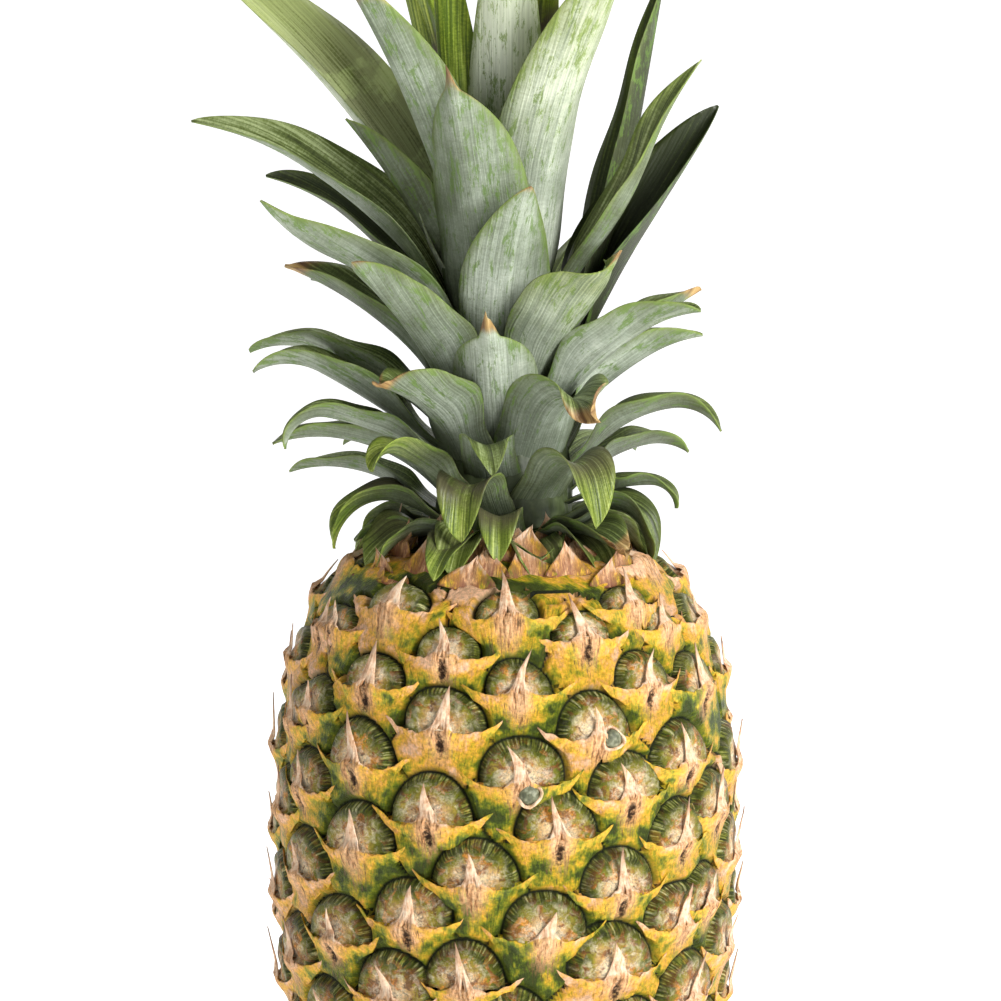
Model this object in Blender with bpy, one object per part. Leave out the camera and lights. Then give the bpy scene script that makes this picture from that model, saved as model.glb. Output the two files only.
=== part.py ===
"""A whole pineapple standing on its trimmed base: one fruit, the short core of its crown, and the crown's leaves.

Run it with: blender --background --python part.py
Metres, +Z up. The origin is the centre of the flat base, the fruit's axis is Z, and the front is towards -Y.
"""

import math
from collections import namedtuple

import bmesh
import bpy
import numpy as np
from mathutils import Vector

MM = 0.001

# Fruit: a barrel, widest a little over half way up, cut flat at its base and at the seat of its crown.
FRUIT_RADIUS = 62.6 * MM
WAIST_HEIGHT = 85 * MM
UPPER_REACH = 87 * MM
LOWER_REACH = 90 * MM
UPPER_POWERS = (2.8, 3.6)
LOWER_POWERS = (2.6, 3.2)
SEAT_HEIGHT = 168.5 * MM
RIM_POINTS = 24

# Eyes: the fruitlets stand in one spiral that turns by almost the golden angle from each to the next.
EYE_DIVERGENCE = 137.4
FIRST_EYE_TURN = 265
EYE_AREA = 455 * MM**2
EYE_BULGE = 1.2 * MM
GROOVE_DEPTH = 1.5 * MM

# Fruitlets that grew a little off the spiral: place in it, then degrees towards +X and millimetres up.
EYE_NUDGES = {
    142: (-12, -11),
    137: (-8, -7),
    134: (-13, -9),
    129: (-6, -7),
    124: (0, 3),
    121: (-8, -6),
    119: (-4, 10),
    113: (-10, -5),
    111: (3, 6),
    106: (-8, 9),
    103: (6, 4),
    100: (-4, -1),
    95: (6, 2),
    92: (-5, -1),
    90: (0, 3),
    87: (3, 1),
    82: (1, 3),
    79: (2, 1),
    77: (3, 4),
    69: (3, 2),
    66: (3, -2),
    61: (3, 1),
    56: (8, 6),
    53: (3, -3),
    48: (7, 5),
    45: (3, 2),
}

# Crown core: the stem of the crown with the leaf bases that sheathe it, as (height over the seat, radius).
CORE_PROFILE = ((0, 19), (20, 18), (40, 14.5), (60, 10), (74, 7), (79, 3.5))
CORE_SIDES = 20
GAP = 0.3 * MM

# Leaves
LEAF_THICKNESS = 1.1 * MM
LEAF_STANDOFF = 1.3 * MM
LEAF_SECTIONS = 10
BASE_CUP = 0.15
FULL_CUP = 0.36
STATIONS = (0, 1 / 3, 2 / 3, 1)

# turn: degrees round the crown from the front, towards +X. rise: millimetres from the seat up to the leaf's foot.
# climb: the leaf's angle over the horizontal, in degrees, at its foot, at a third, at two thirds and at its tip.
# sway: how far it turns sideways by its tip, and roll: how far it twists, in degrees.
# taper: how late it narrows; 1 is a straight taper and 3 a blunt one.
Leaf = namedtuple("Leaf", "name turn rise length width climb sway roll taper", defaults=(0, 0, 1.7))

LEAVES = (
    # Lowest ring: short leaves that arch over and droop to the shoulder of the fruit.
    Leaf("low_front", -3, 4.5, 27, 13, (45, 30, -60, -78)),
    Leaf("low_front_left", -24, 1.6, 29, 13, (20, 5, -30, -50)),
    Leaf("low_front_right", 15, 1.2, 17, 20, (12, -2, -8, -12)),
    Leaf("low_right_yellow", 45, 4.5, 27, 16, (15, 0, -20, -30)),
    Leaf("low_right", 72, 8, 33, 13, (28, 6, -68, -86)),
    Leaf("low_left", -80, 8, 36, 12, (38, 12, -40, -85)),
    Leaf("low_left_edge", -86, 1.5, 22, 11, (25, 10, -10, -25)),
    Leaf("low_back_right", 118, 3, 25, 13, (25, 5, -20, -50)),
    Leaf("low_back", 165, 2, 26, 14, (25, 5, -20, -45)),
    Leaf("low_back_left", 212, 4, 30, 13, (30, 10, -30, -60)),
    # Second ring: short folded leaves in front, longer arched ones at the sides.
    Leaf("second_front_left", -18, 12, 31, 16, (45, 30, -75, -88)),
    Leaf("second_front_right", 33, 16, 38, 16, (45, 30, -62, -85)),
    Leaf("second_front", -12, 22, 30, 15, (45, 30, -10, -80), 28),
    Leaf("second_left_fold", -54, 17, 30, 15, (40, 32, 20, -85)),
    Leaf("second_left_low", -101, 10, 44, 11, (36, 24, 5, -20)),
    Leaf("second_left", -87, 17, 48, 13, (45, 25, 5, -20)),
    Leaf("second_left_high", -77, 23, 50, 13, (35, 24, 12, -85)),
    Leaf("second_right_thin", 80, 13, 32, 8, (22, 14, 0, -88)),
    Leaf("second_right", 84, 22, 48, 13, (48, 35, 8, -60)),
    Leaf("second_right_back", 108, 16, 38, 13, (40, 28, 8, -35)),
    Leaf("second_back_right", 142, 12, 46, 14, (42, 28, 5, -30)),
    Leaf("second_back", 182, 18, 50, 14, (45, 30, 10, -25)),
    Leaf("second_back_left", 228, 14, 47, 13, (42, 28, 5, -30)),
    # Third ring: broad leaves that lean out at about half a right angle.
    Leaf("third_left_low", -92, 27, 58, 12, (36, 33, 28, -30)),
    Leaf("third_left", -103, 32, 62, 12, (42, 28, 22, -25)),
    Leaf("third_front_left", -48, 27, 36, 20, (62, 40, 25, 10), 0, 0, 3),
    Leaf("third_front_right", 30, 28, 38, 22, (60, 40, 0, -45)),
    Leaf("third_front", -8, 32, 39, 23, (66, 64, 56, 50), 0, 0, 2.6),
    Leaf("third_left_broad", -54, 38, 53, 20, (62, 52, 45, 45)),
    Leaf("third_right_broad", 62, 38, 52, 17, (52, 40, 30, 5)),
    Leaf("third_right_under", 86, 34, 45, 14, (48, 40, 30, 8)),
    Leaf("third_right_high", 100, 41, 49, 12, (45, 38, 33, 30)),
    Leaf("third_back_right", 130, 26, 48, 15, (52, 42, 32, 20)),
    Leaf("third_back", 160, 32, 62, 15, (52, 40, 26, 5)),
    Leaf("third_back_left", 204, 28, 60, 15, (52, 38, 22, 0)),
    Leaf("third_back_far_left", 236, 38, 62, 14, (54, 42, 28, 8)),
    # Fourth ring: long leaves that lean out and narrow to a point.
    Leaf("fourth_left_low", -106, 40, 61, 15, (58, 42, 30, 20)),
    Leaf("fourth_right_broad", 40, 44, 50, 23, (62, 48, 42, 55)),
    Leaf("fourth_left", -73, 48, 73, 16, (69, 38, 24, 52)),
    Leaf("fourth_front", 1, 52, 52, 27, (66, 67, 62, 57), 30, 0, 2.4),
    Leaf("fourth_left_dark", -110, 52, 78, 12, (62, 48, 36, 10)),
    Leaf("fourth_right_dark", 102, 46, 87, 22, (54, 62, 57, 58), 0, 30),
    Leaf("fourth_left_long", -98, 57, 99, 14, (66, 45, 32, 8), 0, -15),
    Leaf("fourth_left_upright", -90, 64, 62, 14, (66, 60, 56, 50), 0, 20),
    Leaf("fourth_back_right", 144, 42, 80, 16, (60, 50, 40, 30)),
    Leaf("fourth_back", 180, 50, 86, 18, (62, 52, 42, 25)),
    # Inner ring: the longest leaves, nearly upright.
    Leaf("inner_front_left", -25, 56, 78, 27, (76, 73, 70, 68), 0, 0, 2.4),
    Leaf("inner_front_right", 40, 64, 108, 25, (78, 75, 60, 50), 0, 0, 2.6),
    Leaf("inner_right_narrow", 72, 58, 86, 12, (68, 50, 70, 50)),
    Leaf("inner_left", -60, 68, 97, 20, (74, 69, 62, 53), 0, 10),
    Leaf("inner_left_long", -118, 60, 143, 21, (70, 53, 42, 31), 0, -36),
    Leaf("inner_right_dark", 102, 55, 108, 13, (48, 73, 80, 80)),
    Leaf("inner_back_right", 148, 75, 106, 22, (84, 80, 79, 78), 0, 0, 2.8),
    Leaf("inner_back", 215, 67, 106, 16, (77, 75, 73, 72)),
    # Heart: the youngest leaves, close round the axis.
    Leaf("heart_front", 3, 76, 106, 22, (84, 83, 81, 80), 0, 0, 2.8),
    Leaf("heart_left", -112, 71, 102, 15, (76, 76, 75, 74)),
    Leaf("heart_front_left", -74, 74, 98, 15, (74, 82, 86, 87), 0, 28),
    Leaf("heart_right", 115, 71, 100, 17, (76, 76, 75, 75), 0, 20),
)

# Finishes: (colour, roughness, metallic)
RIND = ((0.24, 0.20, 0.05), 0.55, 0.0)
CORE_TISSUE = ((0.42, 0.45, 0.30), 0.6, 0.0)
LEAF_GREEN = ((0.20, 0.28, 0.14), 0.5, 0.0)


def clear_scene():
    for thing in list(bpy.data.objects):
        bpy.data.objects.remove(thing)


def finish_named(name, finish):
    """A Principled material with one colour, roughness and metallic value."""
    colour, roughness, metallic = finish
    material = bpy.data.materials.new(name)
    material.use_nodes = True
    shader = material.node_tree.nodes["Principled BSDF"]
    shader.inputs["Base Color"].default_value = (*colour, 1)
    shader.inputs["Roughness"].default_value = roughness
    shader.inputs["Metallic"].default_value = metallic
    return material


def add_object(name, mesh, material):
    mesh.materials.append(material)
    thing = bpy.data.objects.new(name, mesh)
    bpy.context.scene.collection.objects.link(thing)
    return thing


def fruit_radius(z):
    """The barrel's radius at height z: a superellipse above its widest place and another below it."""
    above = z > WAIST_HEIGHT
    reach = UPPER_REACH if above else LOWER_REACH
    along, across = UPPER_POWERS if above else LOWER_POWERS
    share = min(1.0, abs(z - WAIST_HEIGHT) / reach)
    return FRUIT_RADIUS * (1 - share**along) ** (1 / across)


def barrel_steps(count=600):
    """Heights up the barrel, its area up to each, and each one's latitude on a sphere that keeps its angles."""
    heights = np.linspace(0, SEAT_HEIGHT, count)
    radii = np.array([fruit_radius(z) for z in heights])
    slant = np.hypot(np.diff(heights), np.diff(radii))
    mean_radius = (radii[1:] + radii[:-1]) / 2
    area = np.concatenate(([0], np.cumsum(2 * math.pi * mean_radius * slant)))
    stretch = np.concatenate(([0], np.cumsum(slant / mean_radius)))
    middle = np.interp(WAIST_HEIGHT, heights, stretch)
    latitude = 2 * np.arctan(np.exp(stretch - middle)) - math.pi / 2
    return heights, area, latitude


def place_on_barrel(turn, z, outward):
    radius = fruit_radius(z) + outward
    return Vector((radius * math.sin(turn), -radius * math.cos(turn), z))


def eye_points():
    """(turn, height) of each eye, up the spiral, with the same area of barrel round each."""
    heights, area, _ = barrel_steps()
    count = int(area[-1] / EYE_AREA)
    shares = (np.arange(count) + 0.5) / count * area[-1]
    turns = FIRST_EYE_TURN + EYE_DIVERGENCE * np.arange(count)
    rises = np.interp(shares, area, heights)
    for place, (aside, up) in EYE_NUDGES.items():
        turns[place] += aside
        rises[place] += up * MM
    return list(zip(np.radians(turns), rises))


def rim_points(z, start):
    return [(start + 2 * math.pi * k / RIM_POINTS, z) for k in range(RIM_POINTS)]


def build_fruit():
    """A raised point at each eye, joined to a sunken ring of grooves round it.

    The eyes are triangulated on a sphere, by a hull. Each triangle's middle is then a groove's corner, and each edge
    between two eyes is turned to run along the groove between them.
    """
    heights, _, latitudes = barrel_steps()
    eyes = eye_points()
    rims = rim_points(0, 0) + rim_points(SEAT_HEIGHT, math.pi / RIM_POINTS)
    shape = bmesh.new()
    for turn, z in eyes + rims:
        latitude = np.interp(z, heights, latitudes)
        ring = math.cos(latitude)
        shape.verts.new((ring * math.sin(turn), -ring * math.cos(turn), math.sin(latitude)))
    bmesh.ops.convex_hull(shape, input=shape.verts, use_existing_faces=False)
    shape.verts.ensure_lookup_table()
    eye_verts = set(shape.verts[: len(eyes)])
    for vertex, (turn, z) in zip(shape.verts, eyes + rims):
        vertex.co = place_on_barrel(turn, z, EYE_BULGE if vertex in eye_verts else 0)
    flat = [f for f in shape.faces if not any(v in eye_verts for v in f.verts)]
    sloping = [f for f in shape.faces if f not in flat]
    between = [e for e in shape.edges if all(f not in flat for f in e.link_faces)]
    corners = bmesh.ops.poke(shape, faces=sloping)["verts"]
    for corner in corners:
        turn = math.atan2(corner.co.x, -corner.co.y)
        corner.co = place_on_barrel(turn, corner.co.z, -GROOVE_DEPTH)
    bmesh.ops.rotate_edges(shape, edges=between, use_ccw=False)
    bmesh.ops.recalc_face_normals(shape, faces=shape.faces)
    mesh = bpy.data.meshes.new("fruit")
    shape.to_mesh(mesh)
    shape.free()
    return add_object("fruit", mesh, finish_named("rind", RIND))


def core_radius(rise):
    """The core's radius at a height over the seat, both in metres."""
    rises, radii = zip(*CORE_PROFILE)
    return float(np.interp(rise / MM, rises, radii)) * MM


def build_core():
    """A turned cone with a rounded top, standing just clear of the seat."""
    shape = bmesh.new()
    rings = []
    for rise, radius in CORE_PROFILE:
        ring = bmesh.ops.create_circle(shape, segments=CORE_SIDES, radius=radius * MM)["verts"]
        bmesh.ops.translate(shape, verts=ring, vec=(0, 0, rise * MM))
        rings.append([e for e in shape.edges if all(v in ring for v in e.verts)])
    for lower, upper in zip(rings, rings[1:]):
        bmesh.ops.bridge_loops(shape, edges=lower + upper)
    bmesh.ops.holes_fill(shape, edges=rings[0] + rings[-1])
    bmesh.ops.recalc_face_normals(shape, faces=shape.faces)
    mesh = bpy.data.meshes.new("crown_core")
    shape.to_mesh(mesh)
    shape.free()
    mesh.shade_smooth()
    mesh.set_sharp_from_angle(angle=math.radians(50))
    core = add_object("crown_core", mesh, finish_named("core_tissue", CORE_TISSUE))
    core.location.z = SEAT_HEIGHT + GAP
    return core


def leaf_course(leaf, count, steps=120):
    """(share, place, along, across, inward) at count + 1 places from a leaf's foot to its tip.

    x runs out from the crown's axis, y sideways and z up. inward is the side that faces the axis, or the sky.
    """
    shares = np.linspace(0, 1, steps + 1)
    climb = np.radians(np.interp(shares, STATIONS, leaf.climb))
    heading = np.radians(leaf.sway) * shares
    along = np.stack(
        [np.cos(climb) * np.cos(heading), np.cos(climb) * np.sin(heading), np.sin(climb)], axis=1
    )
    middle = (along[1:] + along[:-1]) / 2
    places = np.concatenate(([[0, 0, 0]], np.cumsum(middle, axis=0))) * leaf.length * MM / steps
    for k in np.linspace(0, steps, count + 1).astype(int):
        flat = np.array([-math.sin(heading[k]), math.cos(heading[k]), 0])
        up = np.cross(along[k], flat)
        roll = math.radians(leaf.roll) * shares[k]
        across = flat * math.cos(roll) + up * math.sin(roll)
        yield shares[k], places[k], along[k], across, np.cross(along[k], across)


def half_width(leaf, share):
    """Half of a leaf's width: it swells a little above its foot and then narrows to a point."""
    swell = 0.62 + 0.38 * min(1.0, share / 0.35)
    return leaf.width * MM / 2 * swell * (1 - share**leaf.taper) ** 0.9


def build_leaf(leaf, material):
    """A thin channelled blade: sections of two edges, a crease inside and a keel outside, closing at the tip."""
    shape = bmesh.new()
    sections = []
    for share, place, _, across, inward in leaf_course(leaf, LEAF_SECTIONS):
        if share == 1:
            sections.append([shape.verts.new(place)])
            continue
        half = half_width(leaf, share)
        cup = BASE_CUP + (FULL_CUP - BASE_CUP) * min(1.0, share / 0.3)
        rim = half * cup * inward
        skin = LEAF_THICKNESS / 2 * (1 - 0.4 * share) * inward
        corners = (place - across * half + rim, place + skin, place + across * half + rim, place - skin)
        sections.append([shape.verts.new(corner) for corner in corners])
    shape.faces.new(sections[0])
    for lower, upper in zip(sections, sections[1:]):
        for k in range(4):
            face = [lower[k], lower[(k + 1) % 4]]
            face += [upper[0]] if len(upper) == 1 else [upper[(k + 1) % 4], upper[k]]
            shape.faces.new(face)
    bmesh.ops.recalc_face_normals(shape, faces=shape.faces)
    mesh = bpy.data.meshes.new("leaf_" + leaf.name)
    shape.to_mesh(mesh)
    shape.free()
    mesh.shade_smooth()
    mesh.set_sharp_from_angle(angle=math.radians(60))
    blade = add_object("leaf_" + leaf.name, mesh, material)
    foot = core_radius(leaf.rise * MM) + LEAF_STANDOFF
    turn = math.radians(leaf.turn)
    blade.location = (
        foot * math.sin(turn),
        -foot * math.cos(turn),
        SEAT_HEIGHT + GAP + leaf.rise * MM,
    )
    blade.rotation_euler.z = turn - math.pi / 2
    return blade


def main():
    clear_scene()
    build_fruit()
    build_core()
    green = finish_named("leaf", LEAF_GREEN)
    for leaf in LEAVES:
        build_leaf(leaf, green)


main()
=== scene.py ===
"""A fresh pineapple on a pale floor: the look of each piece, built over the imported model.

Metres, +Z up, front towards -Y. The fruit's axis is Z and it stands on z = 0.
"""

import math
from collections import namedtuple
from functools import partial

import bpy
import numpy as np
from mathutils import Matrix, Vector


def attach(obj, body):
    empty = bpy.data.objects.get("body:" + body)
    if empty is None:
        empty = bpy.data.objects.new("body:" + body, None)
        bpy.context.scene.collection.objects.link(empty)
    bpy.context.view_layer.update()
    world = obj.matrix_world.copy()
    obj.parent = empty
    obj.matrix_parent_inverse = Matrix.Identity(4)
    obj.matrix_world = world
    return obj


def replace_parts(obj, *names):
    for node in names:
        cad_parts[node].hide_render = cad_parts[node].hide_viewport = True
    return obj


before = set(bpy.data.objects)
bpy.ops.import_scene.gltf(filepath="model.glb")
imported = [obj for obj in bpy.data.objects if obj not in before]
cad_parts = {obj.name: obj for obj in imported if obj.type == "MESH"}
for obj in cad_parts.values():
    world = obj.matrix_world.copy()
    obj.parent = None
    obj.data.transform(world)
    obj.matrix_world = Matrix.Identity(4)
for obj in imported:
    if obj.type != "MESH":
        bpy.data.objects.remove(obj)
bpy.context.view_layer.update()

MM = 0.001

# ---------------------------------------------------------------- shape of the fruit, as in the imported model
FRUIT_RADIUS = 62.6 * MM
WAIST_HEIGHT = 85 * MM
UPPER_REACH = 87 * MM
LOWER_REACH = 90 * MM
UPPER_POWERS = (2.8, 3.6)
LOWER_POWERS = (2.6, 3.2)
SEAT_HEIGHT = 168.5 * MM
GAP = 0.3 * MM
EYE_DIVERGENCE = 137.4
FIRST_EYE_TURN = 265
EYE_AREA = 455 * MM**2
EYE_NUDGES = {
    142: (-12, -11),
    137: (-8, -7),
    134: (-13, -9),
    129: (-6, -7),
    124: (0, 3),
    121: (-8, -6),
    119: (-4, 10),
    113: (-10, -5),
    111: (3, 6),
    106: (-8, 9),
    103: (6, 4),
    100: (-4, -1),
    95: (6, 2),
    92: (-5, -1),
    90: (0, 3),
    87: (3, 1),
    82: (1, 3),
    79: (2, 1),
    77: (3, 4),
    69: (3, 2),
    66: (3, -2),
    61: (3, 1),
    56: (8, 6),
    53: (3, -3),
    48: (7, 5),
    45: (3, 2),
}
# Eyes that have split under their spike, and those that still hold a dried flower, with its place across and
# up from the eye's middle in millimetres.
OPEN_EYES = (48, 77, 90, 98, 108, 121, 129)
FLOWERS = {103: (3.2, -1.4), 95: (1.6, -3.0)}
FLOWER_RADIUS = 2.5
CORE_PROFILE = ((0, 19), (20, 18), (40, 14.5), (60, 10), (74, 7), (79, 3.5))

# ---------------------------------------------------------------- surface of an eye, in mm at full size
# Distance between the middles of neighbouring eyes.
FULL_SPACING = 23.6
# Round disc over a bract: its half width, its height over the bract's edge, how far its middle is above that
# edge, and how far it stands over the floor of the groove.
DISC_HALF = 11.9
DISC_TALL = 11.6
DISC_LIFT = 0.2
DISC_STAND = 2.9
# Upper edge of the bract: distance from its middle, and height, from the spike's foot out to the wing's tip.
WING_OUT = (0, 3, 6, 9, 12, 15.5, 17)
WING_UP = (0.0, -0.9, -1.4, -0.9, 0.1, 2.2, 3.2)
WING_REACH = 16.2
GROOVE_WIDTH = 1.2
GROOVE_DEPTH = 1.9
# The top eyes are mostly bract: share of a full disc, by height in millimetres.
DISC_HEIGHTS = (118, 150)
DISC_SHARES = (1.0, 0.72)

# Share of the eyes with a slit under the spike, how far the slit is below the spike's foot, and its depth.
SLIT_CHANCE = 0.45
SLIT_DROP = 4.4
SLIT_DEPTH = 1.5
# Bracts on the shoulder, ring by ring: how many, millimetres over the seat's rim, and degrees they lean in.
COLLAR_RINGS = ((15, -13.5, 16), (19, -9.5, 34), (17, -3.0, 52), (15, 3.5, 74), (12, 9.5, 80))

RIND_COLUMNS = 460
RIND_ROWS = 202
SHELL_HALF = 16
SHELL_ROWS = 11
# The skin stays this far over the floor.
FLOOR_GAP = 0.02 * MM

# ---------------------------------------------------------------- leaves, as in the imported model
# turn, rise, length, width, climb at the foot, a third, two thirds and the tip, sway, roll and taper are the
# imported model's. bloom is how much silvery bloom the underside keeps, and it lightens the upper side too;
# over
# 1, as on inner_left_long and heart_front, it is painted light on a leaf that sits in shade. dry is how much
# of the tip has dried. A leaf with a shoulder is broad up to there, and ends in a narrow horn. young is how
# yellow-green its end is, and over 1, on the heart and inner back leaves, it is painted light on leaves in
# shade.
# twist is the degrees by which its end has curled over.
Leaf = namedtuple(
    "Leaf",
    "name turn rise length width climb sway roll taper bloom dry shoulder young twist",
    defaults=(0, 0, 1.7, 0.6, -0.06, 1, 0, 0),
)
STATIONS = (0, 1 / 3, 2 / 3, 1)
LEAF_STANDOFF = 1.3 * MM
LEAF_ROWS = 52
LEAF_COLUMNS = 13
# Half the width in millimetres of a horn where it starts, and of any blade's very end.
HORN_HALF = 3.4
TIP_HALF = 0.12
# Height that no blade hangs below.
LOWEST_BLADE = 100 * MM

LEAVES = (
    Leaf("low_front", -3, 4.5, 27, 13, (45, 30, -60, -78), bloom=0.35, young=0.5),
    Leaf("low_front_left", -24, 1.6, 29, 13, (20, 5, -30, -50), bloom=0.2, young=0.5),
    Leaf("low_front_right", 15, 1.2, 17, 20, (12, -2, -8, -12), bloom=0.2),
    Leaf("low_right_yellow", 45, 4.5, 27, 16, (15, 0, -20, -30), bloom=0.2, dry=0.22),
    Leaf("low_right", 72, 8, 33, 13, (28, 6, -68, -86), bloom=0.2),
    Leaf("low_left", -80, 8, 36, 12, (38, 12, -40, -85), bloom=0.3, young=0.6),
    Leaf("low_left_edge", -86, 1.5, 22, 11, (25, 10, -10, -25), bloom=0.2),
    Leaf("low_back_right", 118, 3, 25, 13, (25, 5, -20, -50), bloom=0.3),
    Leaf("low_back", 165, 2, 26, 14, (25, 5, -20, -45), bloom=0.3),
    Leaf("low_back_left", 212, 4, 30, 13, (30, 10, -30, -60), bloom=0.3),
    Leaf("second_front_left", -18, 12, 31, 16, (45, 30, -75, -88), bloom=0.4, young=0.55),
    Leaf("second_front_right", 33, 16, 38, 16, (45, 30, -62, -85), bloom=0.4, young=0.45),
    Leaf("second_front", -12, 22, 30, 15, (45, 30, -10, -80), 28, bloom=0.45),
    Leaf("second_left_fold", -54, 17, 30, 15, (40, 32, 20, -85), bloom=0.4, young=0.5),
    Leaf("second_left_low", -101, 10, 44, 11, (36, 24, 5, -20), bloom=0.55),
    Leaf("second_left", -87, 17, 48, 13, (45, 25, 5, -20), bloom=0.5),
    Leaf("second_left_high", -77, 23, 50, 13, (35, 24, 12, -85), bloom=0.6),
    Leaf("second_right_thin", 80, 13, 32, 8, (22, 14, 0, -88), bloom=0.3),
    Leaf("second_right", 84, 22, 48, 13, (48, 35, 8, -60), bloom=0.3),
    Leaf("second_right_back", 108, 16, 38, 13, (40, 28, 8, -35), bloom=0.3),
    Leaf("second_back_right", 142, 12, 46, 14, (42, 28, 5, -30), bloom=0.4),
    Leaf("second_back", 182, 18, 50, 14, (45, 30, 10, -25), bloom=0.4),
    Leaf("second_back_left", 228, 14, 47, 13, (42, 28, 5, -30), bloom=0.4),
    Leaf("third_left_low", -92, 27, 58, 12, (36, 33, 28, -30), bloom=0.62),
    Leaf("third_left", -103, 32, 62, 12, (42, 28, 22, -25), bloom=0.65),
    Leaf(
        "third_front_left", -48, 27, 36, 20, (62, 40, 25, 10), 0, 0, 3,
        bloom=0.5, dry=0.17, shoulder=0.9, twist=35,
    ),
    Leaf("third_front_right", 30, 28, 38, 22, (60, 40, 0, -45), bloom=0.5, dry=0.17, twist=95),
    Leaf("third_front", -8, 32, 39, 23, (66, 64, 56, 50), 0, 0, 2.6, bloom=0.74, dry=0.16, shoulder=0.8),
    Leaf("third_left_broad", -54, 38, 53, 20, (62, 52, 45, 45), bloom=0.48, dry=0.03, twist=40),
    Leaf("third_right_broad", 62, 38, 52, 17, (52, 40, 30, 5), bloom=0.66),
    Leaf("third_right_under", 86, 34, 45, 14, (48, 40, 30, 8), bloom=0.6),
    Leaf("third_right_high", 100, 41, 49, 12, (45, 38, 33, 30), bloom=0.4, dry=0.1),
    Leaf("third_back_right", 130, 26, 48, 15, (52, 42, 32, 20), bloom=0.5),
    Leaf("third_back", 160, 32, 62, 15, (52, 40, 26, 5), bloom=0.5),
    Leaf("third_back_left", 204, 28, 60, 15, (52, 38, 22, 0), bloom=0.5),
    Leaf("third_back_far_left", 236, 38, 62, 14, (54, 42, 28, 8), bloom=0.5),
    Leaf("fourth_left_low", -106, 40, 61, 15, (58, 42, 30, 20), 0, -20, bloom=0.4, dry=0.12),
    Leaf(
        "fourth_right_broad", 40, 44, 50, 23, (62, 48, 42, 55),
        bloom=0.6, dry=0.06, shoulder=0.9, young=0.25, twist=80,
    ),
    Leaf("fourth_left", -73, 48, 73, 16, (69, 38, 24, 52), bloom=0.62),
    Leaf("fourth_front", 1, 52, 52, 27, (66, 67, 62, 57), 30, 0, 2.4, bloom=0.66, dry=0.02),
    Leaf("fourth_left_dark", -110, 52, 78, 12, (62, 48, 36, 10), 0, -40, bloom=0.1),
    Leaf("fourth_right_dark", 102, 46, 87, 20, (54, 62, 57, 58), 0, 44, bloom=-0.25),
    Leaf("fourth_left_long", -98, 57, 99, 14, (66, 45, 32, 8), 0, -48, bloom=0.62),
    Leaf("fourth_left_upright", -90, 64, 62, 14, (66, 60, 56, 50), 0, 20, bloom=0.3),
    Leaf("fourth_back_right", 144, 42, 80, 16, (60, 50, 40, 30), bloom=0.3, dry=0.1),
    Leaf("fourth_back", 180, 50, 86, 18, (62, 52, 42, 25), bloom=0.5),
    Leaf(
        "inner_front_left", -25, 56, 78, 27, (76, 73, 70, 68), 0, 0, 2.4,
        bloom=0.52, dry=0.08, shoulder=0.93,
    ),
    Leaf("inner_front_right", 40, 64, 108, 25, (78, 75, 60, 50), 0, 0, 2.6, bloom=0.8, dry=-0.02, young=0.25),
    Leaf("inner_right_narrow", 72, 58, 86, 10, (68, 50, 70, 50), 0, 62, bloom=0.35, young=0.15),
    Leaf("inner_left", -60, 68, 97, 20, (74, 69, 62, 53), 0, 10, bloom=0.5, dry=0.1),
    Leaf("inner_left_long", -118, 60, 143, 21, (70, 53, 42, 31), 0, -36, bloom=1.1, young=0.3),
    Leaf("inner_right_dark", 102, 55, 108, 13, (48, 73, 80, 80), bloom=0.0),
    Leaf("inner_back_right", 148, 75, 106, 22, (84, 80, 79, 78), 0, 0, 2.8, bloom=0.4, young=1.4),
    Leaf("inner_back", 215, 67, 106, 16, (77, 75, 73, 72), bloom=0.3, young=1.4),
    Leaf("heart_front", 3, 76, 106, 22, (84, 83, 81, 80), 0, 0, 2.8, bloom=1.3, young=0.22),
    Leaf("heart_left", -112, 71, 102, 15, (76, 76, 75, 74), bloom=0.3, young=1.1),
    Leaf("heart_front_left", -74, 74, 98, 15, (74, 82, 86, 87), 0, 28, bloom=0.15, dry=0.06, young=1.5),
    Leaf("heart_right", 115, 71, 100, 17, (76, 76, 75, 75), 0, 20, bloom=0.3, young=1.4),
)

# Small leaves that lie over the fruit's shoulder, under the crown's lowest ones.
FOOT_COUNT = 12


# ================================================================ materials
# Settings that many nodes share. A distance is a number without its sign.
PLUS = {"operation": "ADD"}
MINUS = {"operation": "SUBTRACT"}
TIMES = {"operation": "MULTIPLY"}
TIMES_PLUS = {"operation": "MULTIPLY_ADD"}
DISTANCE = {"operation": "ABSOLUTE"}
SOFT = {"interpolation_type": "SMOOTHSTEP"}
BLEND = {"output": 2, "data_type": "RGBA"}
DARKEN = {**BLEND, "blend_type": "MULTIPLY"}


def linear(hex_colour):
    """An sRGB hex value as linear RGBA."""
    parts = [int(hex_colour[k : k + 2], 16) / 255 for k in (1, 3, 5)]
    return (*[c / 12.92 if c <= 0.04045 else ((c + 0.055) / 1.055) ** 2.4 for c in parts], 1)


def add_node(tree, kind, feeds=None, output=0, stops=(), **settings):
    """Adds a node. feeds gives an input a socket or a value, and stops are a ramp's places and colours."""
    made = tree.nodes.new("ShaderNode" + kind)
    for key, value in settings.items():
        setattr(made, key, value)
    for key, value in (feeds or {}).items():
        if isinstance(value, bpy.types.NodeSocket):
            tree.links.new(value, made.inputs[key])
        else:
            made.inputs[key].default_value = linear(value) if isinstance(value, str) else value
    for place, colour in stops[: len(stops) - 2]:
        made.color_ramp.elements.new(place)
    for element, (place, colour) in zip(made.color_ramp.elements if stops else (), stops):
        element.position = place
        element.color = linear(colour)
    return made.outputs[output]


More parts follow.
